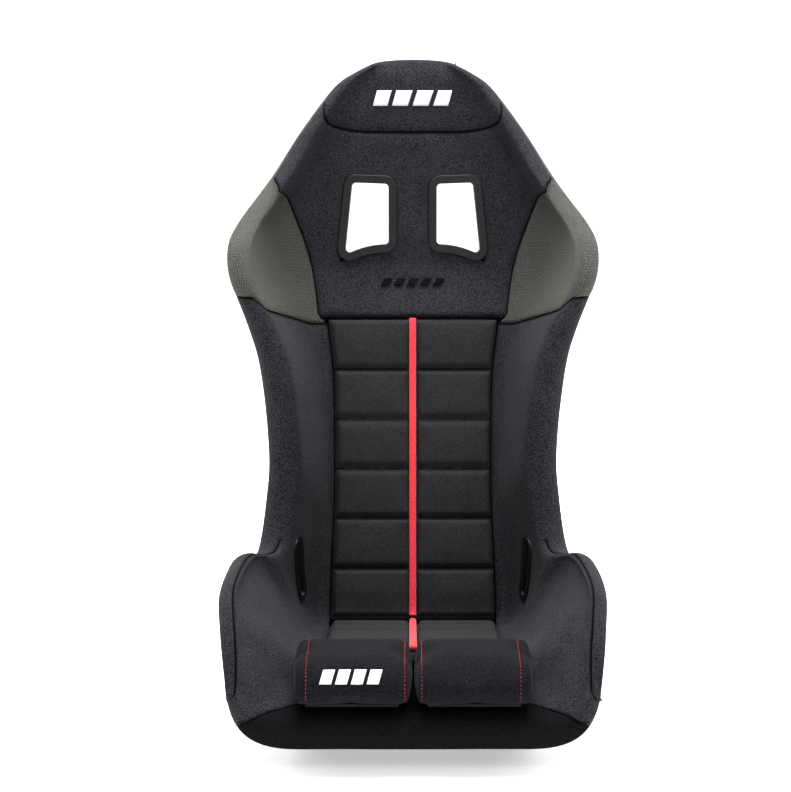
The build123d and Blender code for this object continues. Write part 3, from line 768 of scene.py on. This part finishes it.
def quilted(name, u_low, u_high, rows, body, seed, nodes):
    """A quilted cushion: two columns of padded cells beside a ribbon, on a closed foam body."""
    s, t = share_grids((440, 246), (2.2, 2.2))
    u = between(u_low, u_high, s)
    w = (2 * t - 1) * (EDGE_W - 0.008)
    base = at(u, w)
    along, across = arc_lengths(base, 0), arc_lengths(base, 1)
    middle = across.shape[1] // 2
    x = across - across[:, middle:middle + 1]
    half = across[:, -1:] / 2
    length = along[:, middle:middle + 1]
    marks = np.array(rows) * length[-1, 0]
    row = np.abs(length[..., None] - marks).min(axis=-1) - CHANNEL_HALF
    column = np.minimum(np.abs(x) - RIBBON_HALF - 1.0, half - np.abs(x) - 1.5)
    rise = rounded(np.maximum(row, 0), CELL_EDGE) * rounded(np.maximum(column, 0), CELL_EDGE)
    puff = 1 - np.exp(-np.maximum(np.minimum(row, column), 0) / 16)
    height = CHANNEL_LIFT + CELL_RISE * rise + CELL_PUFF * puff
    height -= 0.8 * np.exp(-((row / 1.1) ** 2)) + 0.8 * np.exp(-((column / 1.2) ** 2))
    height += 0.5 * ripple(across, np.abs(row), seed) + 0.3 * ripple(along, np.abs(column), seed + 1)
    height += unevenness(base, seed, 0.5) * rise
    edge = np.minimum(np.minimum(along, along[-1] - along), half - np.abs(x))
    height -= 3.0 * (1 - rounded(edge, 5.0))
    normals = normal_at(u, w)
    top = base + normals * height[..., None]
    under = base - normals * UNDER_DEPTH
    belt = base - normals * BELT_DEPTH
    n, m = u.shape
    rim = grid_rim(n, m)
    points = np.concatenate([top.reshape(-1, 3), under.reshape(-1, 3), [belt[k] for k in rim]])
    faces = grid_faces(n, m)
    faces += [f[::-1] for f in grid_faces(n, m, start=n * m)]
    for k, (i, j) in enumerate(rim):
        a, b = i * m + j, rim[(k + 1) % len(rim)][0] * m + rim[(k + 1) % len(rim)][1]
        c, d = 2 * n * m + k, 2 * n * m + (k + 1) % len(rim)
        faces += [(b, a, c, d), (d, c, a + n * m, b + n * m)]
    flat = np.stack([x, along], axis=-1).reshape(-1, 2)
    uvs = np.concatenate([flat, flat, [(x[k], along[k]) for k in rim]])
    piece = mesh_piece(name, points, faces, QUILT, uvs)
    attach(piece, body)
    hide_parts(*nodes)
    places = []
    run = np.linspace((RIBBON_HALF + 4.0) / half[0, 0], 0.97, 60) * EDGE_W
    for mark in marks[1:-1]:
        for side in (-CHANNEL_HALF, CHANNEL_HALF):
            level = np.interp(mark + side, length[:, 0], u[:, middle])
            places += [seam_run(level, sign * run, 1.0) for sign in (1, -1)]
        for sign in (1, -1):
            level = np.interp(mark, length[:, 0], u[:, middle])
            row_name = f"{name}_row_{len(places)}_{mirrored(sign)}"
            # The cord in each channel between cells is partly thread, partly painted shade of the
            # channel.
            seam_thread_and_shade(row_name, level, sign * run, 0.5, body, 1.1)
    piece = stitches(f"{name}_stitching", places, DARK_THREAD, length=2.6, gap=1.2, radius=0.42)
    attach(piece, body)


def ribbon(name, u_low, u_high, body, nodes):
    """The rounded coloured strip down the middle of a cushion."""
    count, turns = 200, 12
    u = np.linspace(u_low, u_high, count)
    centre, normal = at(u, np.zeros(count)), normal_at(u, np.zeros(count))
    points, uvs = [], []
    for k in range(count):
        for j in range(turns + 1):
            turn = math.pi * j / turns
            side = -RIBBON_HALF * math.cos(turn)
            lift = RIBBON_LIFT + RIBBON_RISE * math.sin(turn) ** 0.8
            points.append(centre[k] + normal[k] * lift + np.array((side, 0, 0)))
            uvs.append((side, k * 2.1))
        points.append(centre[k] + normal[k] * 2.0)
        uvs.append((0.0, k * 2.1))
    piece = mesh_piece(name, points, ring_faces(count, turns + 2), RED, uvs)
    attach(piece, body)
    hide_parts(*nodes)


BACK_ROWS = [0.0, 0.169, 0.337, 0.501, 0.665, 0.833, 1.0]
quilted("back_cushion", BACK_START, BACK_END, BACK_ROWS, "root", 81,
        ("back_cushion_quilt", "back_cushion_core"))
ribbon("back_ribbon", BACK_START + 0.02, BACK_END, "root", ("back_cushion_piping",))
u = np.linspace(4, 6, 200)
seat_end = float(np.interp(SEAT_BACK_Y, at(u, np.zeros(200))[:, 1], u))
quilted("seat_cushion", SEAT_START, seat_end, [0.0, 0.27, 0.63, 1.0], "seat_cushion", 91,
        ("seat_cushion_quilt", "seat_cushion_core"))
ribbon("seat_ribbon", SEAT_START + 0.02, seat_end - 0.01, "seat_cushion", ("seat_cushion_piping",))

# ------------------------------------------------ thigh pads
PAD_INNER_X, PAD_OUTER_X = 2.5, 154.0
PAD_CORNERS = [(-158, 124), (-158, 149), (-301, 150), (-303, 89), (-232, 89)]  # y, z
PAD_ROUND = [6, 18, 36, 20, 60]
PAD_SEAMS_X = (13.0, 138.0)
PAD_SHRINK = 3.0  # the block before stuffing is this much smaller
PAD_LOW = np.array((PAD_INNER_X - 1.5, -303.0, 88.4))
PAD_HIGH = np.array((PAD_OUTER_X + 0.6, -157.0, 151.4))
STITCH_BESIDE = 2.2


def rounded_outline(corners, radii, arc_steps=8):
    """A polygon with rounded corners, as a closed run of points."""
    points = []
    for k, radius in enumerate(radii):
        corner = np.array(corners[k], dtype=float)
        a = unit(np.array(corners[k - 1]) - corner)
        b = unit(np.array(corners[(k + 1) % len(corners)]) - corner)
        half = math.acos(np.clip(np.dot(a, b), -1, 1)) / 2
        centre = corner + unit(a + b) * radius / math.sin(half)
        start = corner + a * radius / math.tan(half)
        finish = corner + b * radius / math.tan(half)
        for share in np.linspace(0, 1, arc_steps + 1):
            way = unit(between(start, finish, share) - centre)
            points.append(centre + way * radius)
    return np.array(points)


def pad_block(name):
    """The left pad's block before it is stuffed, with softened ends."""
    outline = rounded_outline(PAD_CORNERS, PAD_ROUND)
    middle = outline.mean(axis=0)
    sections = []
    for x, inset in [(0, 7), (1.5, 4), (5, 1.5), (11, 0.4), (18, 0)]:
        sections.append((PAD_INNER_X + PAD_SHRINK + x, inset))
    sections += [(PAD_INNER_X + PAD_OUTER_X - x, inset) for x, inset in reversed(sections)]
    points = []
    for x, inset in sections:
        out = outline - middle
        scale = 1 - (inset + PAD_SHRINK) / np.linalg.norm(out, axis=1).mean()
        points += [(x, y, z) for y, z in middle + out * scale]
    return mesh_piece(name, points, ring_faces(len(sections), len(outline)), PAD_CLOTH)


def applied(piece):
    """Replaces a piece's mesh by the result of its modifiers."""
    graph = bpy.context.evaluated_depsgraph_get()
    mesh = bpy.data.meshes.new_from_object(piece.evaluated_get(graph))
    piece.modifiers.clear()
    piece.data = mesh


def coordinates(mesh):
    values = np.empty(len(mesh.vertices) * 3)
    mesh.vertices.foreach_get("co", values)
    return values.reshape(-1, 3)


def set_coordinates(mesh, values):
    mesh.vertices.foreach_set("co", np.asarray(values).ravel())
    mesh.update()


def inflate(piece, voxel, frames, pressure, cap):
    """Stuffs a closed piece by cloth simulation, and holds each point within cap mm of its start."""
    remesh = piece.modifiers.new("remesh", "REMESH")
    remesh.mode = "VOXEL"
    remesh.voxel_size = voxel * MM
    applied(piece)
    start = coordinates(piece.data)
    cloth = piece.modifiers.new("cloth", "CLOTH")
    cloth.settings.quality = 6
    cloth.settings.mass = 0.3
    cloth.settings.tension_stiffness = 22
    cloth.settings.compression_stiffness = 22
    cloth.settings.bending_stiffness = 1.2
    cloth.settings.use_pressure = True
    cloth.settings.uniform_pressure_force = pressure
    cloth.settings.effector_weights.gravity = 0
    cloth.collision_settings.use_collision = False
    for frame_number in range(1, frames + 1):
        bpy.context.scene.frame_set(frame_number)
    applied(piece)
    bpy.context.scene.frame_set(1)
    moved = coordinates(piece.data) - start
    size = np.linalg.norm(moved, axis=1, keepdims=True) / MM
    held = cap * np.tanh(size / cap) / np.maximum(size, 1e-9)
    set_coordinates(piece.data, start + moved * held)
    finer = piece.modifiers.new("finer", "SUBSURF")
    finer.levels = finer.render_levels = 1
    applied(piece)
    piece.data.polygons.foreach_set("use_smooth", np.ones(len(piece.data.polygons), dtype=bool))
    piece.data.materials.clear()


def box_uvs(mesh):
    """UVs in millimetres, each face seen along its main direction."""
    layer = mesh.uv_layers.new(name="cloth")
    points = coordinates(mesh) / MM
    for polygon in mesh.polygons:
        axis = int(np.argmax(np.abs(polygon.normal)))
        first, second = [(1, 2), (0, 2), (0, 1)][axis]
        for corner in polygon.loop_indices:
            point = points[mesh.loops[corner].vertex_index]
            layer.data[corner].uv = (point[first], point[second])


def thigh_pad(sign):
    side = mirrored(sign)
    name = f"thigh_pad_{side}"
    piece = pad_block(f"{name}_cushion")
    inflate(piece, 4.0, 20, 5.0, 6.0)
    mesh = piece.data
    mesh.materials.append(PAD_CLOTH)
    points = coordinates(mesh) / MM
    mesh.update()
    normals = np.empty(len(points) * 3)
    mesh.vertices.foreach_get("normal", normals)
    normals = normals.reshape(-1, 3)
    dent = sum(np.exp(-((points[:, 0] - x) / 2.0) ** 2) for x in PAD_SEAMS_X) * 1.4
    near = sum(np.exp(-np.abs(points[:, 0] - x) / 9.0) for x in PAD_SEAMS_X)
    rng = np.random.default_rng(5 + sign)
    run = points[:, 1] - points[:, 2]
    pucker = sum(np.sin(run / rng.uniform(2.5, 6) + rng.uniform(0, 6.3)) for _ in range(5)) / 5
    lift = 0.45 * pucker * near + unevenness(points, 15 + sign, 0.9) - dent
    points += normals * lift[:, None]
    lowest, highest = points.min(axis=0), points.max(axis=0)
    points = PAD_LOW + (points - lowest) * (PAD_HIGH - PAD_LOW) / (highest - lowest)
    if sign < 0:
        points[:, 0] *= -1
        mesh.flip_normals()
    set_coordinates(mesh, points * MM)
    box_uvs(mesh)
    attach(piece, name)
    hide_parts(f"thigh_pad_cover_{side}", f"thigh_pad_core_{side}")
    outline = rounded_outline(PAD_CORNERS, PAD_ROUND, arc_steps=16)
    centre = outline.mean(axis=0)
    keep = (outline[:, 1] > 96) & (outline[:, 0] < -170)
    runs = []
    for x in PAD_SEAMS_X:
        path, out = [], []
        for y, z in outline[keep]:
            start = (sign * (x - STITCH_BESIDE), y + 0.6 * (y - centre[0]), z + 0.6 * (z - centre[1]))
            aim = Vector((0, centre[0] - y, centre[1] - z)).normalized()
            hit, place, normal, _ = piece.ray_cast(Vector(start) * MM, aim)
            if hit:
                path.append(np.array(place) / MM)
                out.append(np.array(normal))
        runs.append((np.array(path), np.array(out)))
    thread = stitches(f"{name}_stitching", runs, RED_THREAD, length=3.2, gap=2.0, radius=0.5)
    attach(thread, name)
    return piece


pads = {sign: thigh_pad(sign) for sign in (1, -1)}


# ------------------------------------------------ marks
RAY_START_Y = -500.0  # in front of the whole seat


def slab_faces(side, base):
    """Faces of a closed slab made of two square grids, the upper one first."""
    faces = grid_faces(side, side, start=base)
    faces += [f[::-1] for f in grid_faces(side, side, start=base + side * side)]
    rim = grid_rim(side, side)
    for k, (i, j) in enumerate(rim):
        i2, j2 = rim[(k + 1) % len(rim)]
        a, b = base + i * side + j, base + i2 * side + j2
        faces.append((b, a, a + side * side, b + side * side))
    return faces


def slabs(name, quads, steps, layers, place, material):
    """Thin closed shapes on a surface. Each is a quad of (x, z), and place(x, z) gives the surface's
    point and normal there. The two layers are heights over the surface."""
    points, faces, uvs = [], [], []
    for quad in np.array(quads, dtype=float):
        base = len(points)
        for layer in layers:
            for i in range(steps + 1):
                for j in range(steps + 1):
                    a, b = i / steps, j / steps
                    x, z = between(between(quad[0], quad[1], b), between(quad[3], quad[2], b), a)
                    point, normal = place(x, z)
                    points.append(point + normal * layer)
                    uvs.append((x, z))
        faces += slab_faces(steps + 1, base)
    return mesh_piece(name, points, faces, material, uvs)


def laid_on(name, target, quads, lift, material):
    """Flat shapes printed on the front of a pad."""
    bpy.context.view_layer.update()

    def place(x, z):
        point, normal = target.ray_cast(Vector((x, RAY_START_Y, z)) * MM, Vector((0, 1, 0)))[1:3]
        return np.array(point) / MM, np.array(normal)

    return slabs(name, quads, 8, (lift, -0.8), place, material)


def on_form(name, quads, u_mid, lift, material, nodes=()):
    """Flat shapes laid on the form round (0, u_mid), with x and z counted from there."""
    u_line = np.linspace(u_mid - 2.5, u_mid + 2.5, 400)
    z_line = at(u_line, np.zeros(400))[:, 2]
    z_mid = np.interp(u_mid, u_line, z_line)

    def place(x, z):
        u = np.interp(z_mid + z, z_line, u_line)
        w = np.array(FLOOR_W * x / row_at(u)[7])
        return at(np.array(u), w), normal_at(np.array(u), w)

    piece = slabs(name, quads, 7, (lift, -1.0), place, material)
    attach(piece, "root")
    if nodes:
        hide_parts(*nodes)


def slanted(x, width, height, lean):
    return [(x - width / 2 - lean, -height / 2), (x + width / 2 - lean, -height / 2),
            (x + width / 2 + lean, height / 2), (x - width / 2 + lean, height / 2)]


HEAD_MARK = [slanted(x, 23.0, 22.0, 3.5) for x in (-45, -15, 15, 45)]
on_form("head_badge_bars", HEAD_MARK, 17.72, 1.9, PRINT, ("head_badge",))
# The raised mark is laid in the velour's darker copy, so its darkness is painted shade.
RAISED_MARK = [slanted(x, 11.0, 10.0, 3.0) for x in (-38, -19, 0, 19, 38)]
on_form("raised_mark", RAISED_MARK, 11.85, 4.4, SHADED_FRONT_CLOTH)

PAD_MARK = [[(x - 79, z + 131) for x, z in slanted(k, 15.0, 15.0, 2.5)] for k in (-30, -10, 10, 30)]
piece = laid_on("pad_mark", pads[-1], PAD_MARK, 0.5, PRINT)
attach(piece, "thigh_pad_right")

# ------------------------------------------------ carried-over frame pieces
NODE_LOOKS = {
    "shell": LAMINATE, "side_bosses_left": STEEL, "side_bosses_right": STEEL, "strap_bezel_left": BEZEL,
    "strap_bezel_right": BEZEL, "strap_ring_left": BEZEL, "strap_ring_right": BEZEL,
    "lap_bezel_left": BEZEL, "lap_bezel_right": BEZEL, "crotch_bezel": BEZEL,
}
for name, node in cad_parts.items():
    look = NODE_LOOKS.get(name) or (TAPE if "tape" in name else LINER)
    for k in range(len(node.material_slots)):
        node.material_slots[k].material = look


# ------------------------------------------------ studio and camera
FLOOR_REACH = 400  # in m
GLOW_Y, GLOW = (-0.9, 0.5), (0.1, 0.82)  # the floor's light rises from front to back


def stage_floor():
    """A wide pale floor that glows, brightest behind the seat: painted light, which lights the seat's
    edges from behind and below.
    """
    mesh = bpy.data.meshes.new("stage_floor")
    corners = [(FLOOR_REACH * x, FLOOR_REACH * y, 0) for x, y in ((-1, -1), (1, -1), (1, 1), (-1, 1))]
    mesh.from_pydata(corners, [], [(0, 1, 2, 3)])
    material, tree, shader = node_material("glowing_stage_floor", (0.9, 0.9, 0.9), 0.9)
    shader.inputs["Emission Color"].default_value = (1, 1, 1, 1)
    g = Graph(tree)
    split = g.add("ShaderNodeSeparateXYZ", {0: g.add("ShaderNodeTexCoord").outputs["Object"]})
    glow = g.ramp(split.outputs[1], *GLOW_Y, *GLOW)
    tree.links.new(glow, shader.inputs["Emission Strength"])
    mesh.materials.append(material)
    floor = bpy.data.objects.new("stage_floor", mesh)
    bpy.context.collection.objects.link(floor)


def soft_light(name, place, aim, size, power):
    light = bpy.data.lights.new(name, "AREA")
    light.shape = "RECTANGLE"
    light.size, light.size_y = size
    light.energy = power
    lamp = bpy.data.objects.new(name, light)
    lamp.location = place
    lamp.rotation_euler = (Vector(aim) - Vector(place)).to_track_quat("-Z", "Y").to_euler()
    bpy.context.collection.objects.link(lamp)


stage_floor()
world = bpy.data.worlds.new("studio")
world.use_nodes = True
world.node_tree.nodes["Background"].inputs["Color"].default_value = (1, 1, 1, 1)
world.node_tree.nodes["Background"].inputs["Strength"].default_value = 0.6
bpy.context.scene.world = world
for side in (1, -1):
    soft_light(f"{mirrored(side)}_light", (2.0 * side, 0.6, 1.4), (0, 0, 0.5), (0.9, 1.6), 36)
soft_light("top_light", (0, 0.1, 2.6), (0, 0.1, 0.5), (1.6, 1.2), 130)
soft_light("front_light", (0.9, -2.6, 2.2), (0, 0, 0.5), (1.8, 1.2), 30)
soft_light("back_light", (0, 2.6, 1.8), (0, 0, 0.5), (1.8, 1.2), 18)

CAMERA_TARGET = Vector((0, 0, 0.445))
CAMERA_DISTANCE = 3.2
CAMERA_ELEVATION = math.radians(10)
CAMERA_AZIMUTH = math.radians(-0.1)
SENSOR, FRAME_WIDTH = 36.0, 791
FOCAL_PX, SHIFT_PX = 2345.6, (-17.4, -4.0)
camera = bpy.data.cameras.new("camera")
camera.sensor_width = SENSOR
camera.lens = FOCAL_PX / FRAME_WIDTH * SENSOR
camera.shift_x, camera.shift_y = (k / FRAME_WIDTH for k in SHIFT_PX)
eye = bpy.data.objects.new("camera", camera)
back = Vector((
    math.sin(CAMERA_AZIMUTH) * math.cos(CAMERA_ELEVATION),
    -math.cos(CAMERA_AZIMUTH) * math.cos(CAMERA_ELEVATION), math.sin(CAMERA_ELEVATION),
))
eye.location = CAMERA_TARGET + back * CAMERA_DISTANCE
eye.rotation_euler = (-back).to_track_quat("-Z", "Y").to_euler()
bpy.context.collection.objects.link(eye)
bpy.context.scene.camera = eye
bpy.context.scene.view_settings.view_transform = "Standard"
